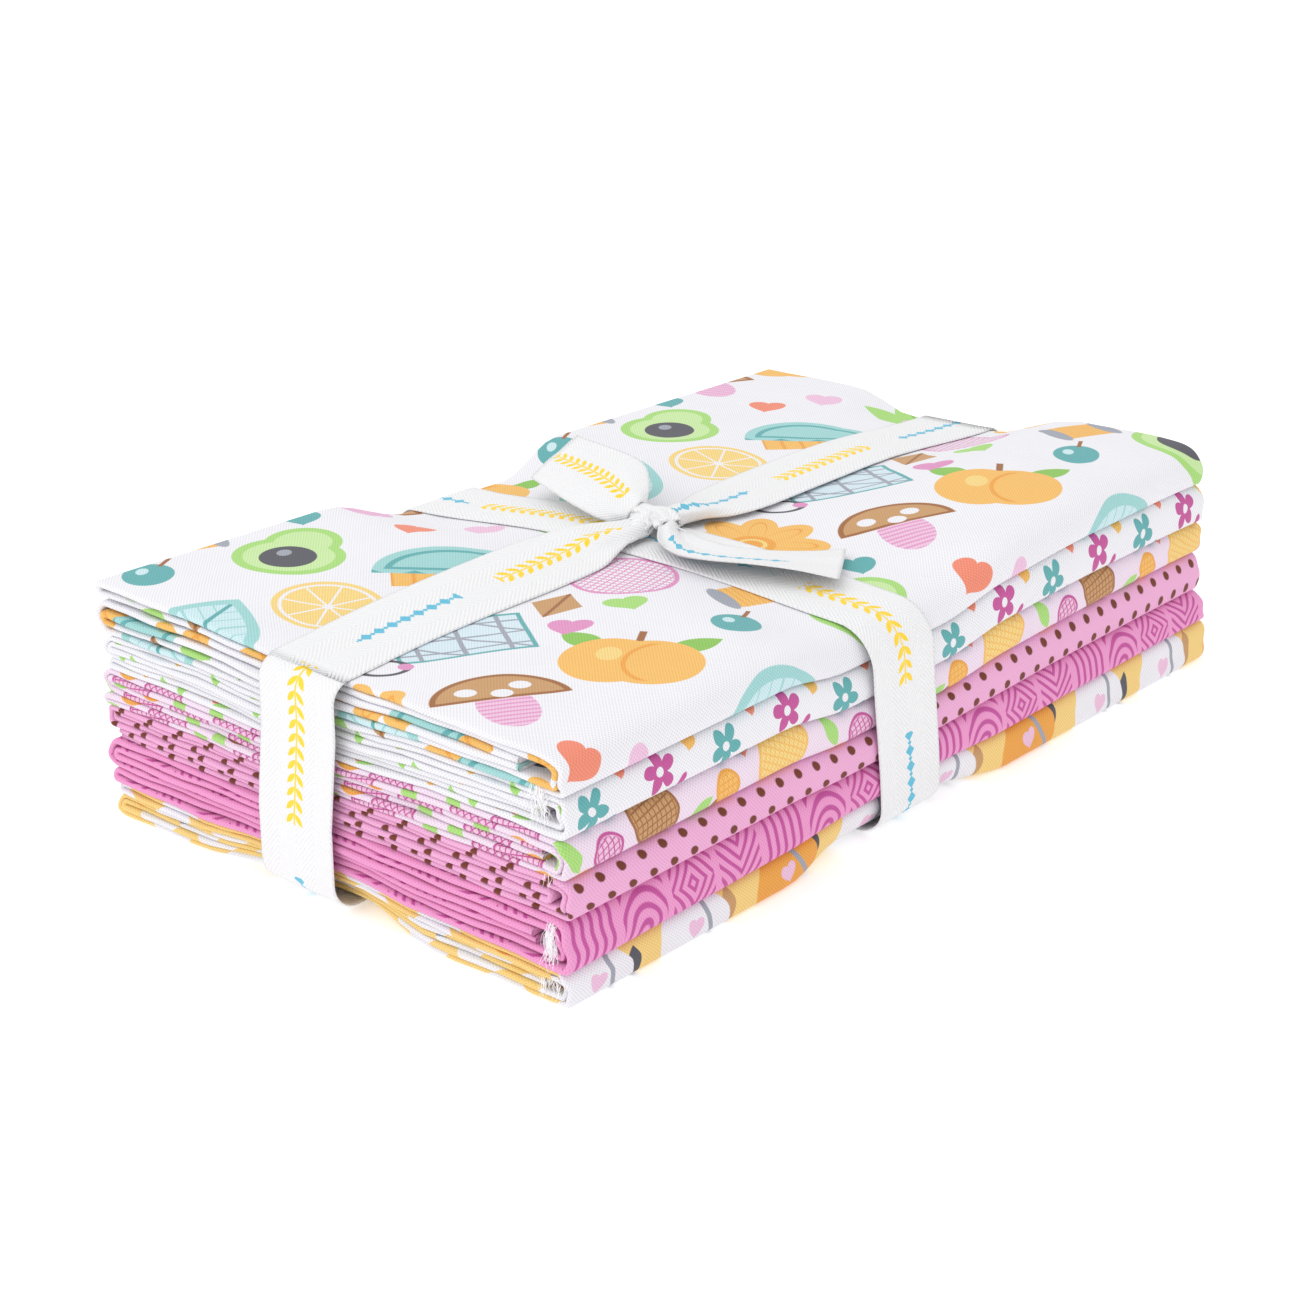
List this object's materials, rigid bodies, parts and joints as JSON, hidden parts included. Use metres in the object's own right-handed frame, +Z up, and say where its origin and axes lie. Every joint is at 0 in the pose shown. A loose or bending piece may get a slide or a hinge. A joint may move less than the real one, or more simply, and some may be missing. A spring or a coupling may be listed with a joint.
{
  "type": "tied fabric bundle",
  "caption": "Bundle of folded printed quilting cottons, stacked flat and tied crosswise with a white twill tape knotted on top.",
  "frame": {"origin": "centre of the bundle's box, on the surface it rests on", "axes": "+X along the folded spines, +Y from the spines at the front to the open loops at the back, +Z up"},
  "size_m": [0.2788, 0.1644, 0.0717],
  "materials": {
    "cut_yellow": "matt plain-weave printed cotton",
    "cut_hot_pink": "matt plain-weave printed cotton",
    "cut_dotted": "matt plain-weave printed cotton",
    "cut_lattice": "matt plain-weave printed cotton",
    "cut_blossom": "matt plain-weave printed cotton",
    "cut_scattered": "matt plain-weave printed cotton",
    "tape": "matt herringbone twill cotton"
  },
  "bodies": {
    "root": {"cut_yellow": "cut_yellow", "cut_hot_pink": "cut_hot_pink", "cut_dotted": "cut_dotted", "cut_lattice": "cut_lattice", "cut_blossom": "cut_blossom", "cut_scattered": "cut_scattered", "tape_long_band": "tape", "tape_cross_band": "tape", "tape_knot": "tape", "tape_wide_end": "tape", "tape_narrow_end": "tape"}
  },
  "joints": []
}
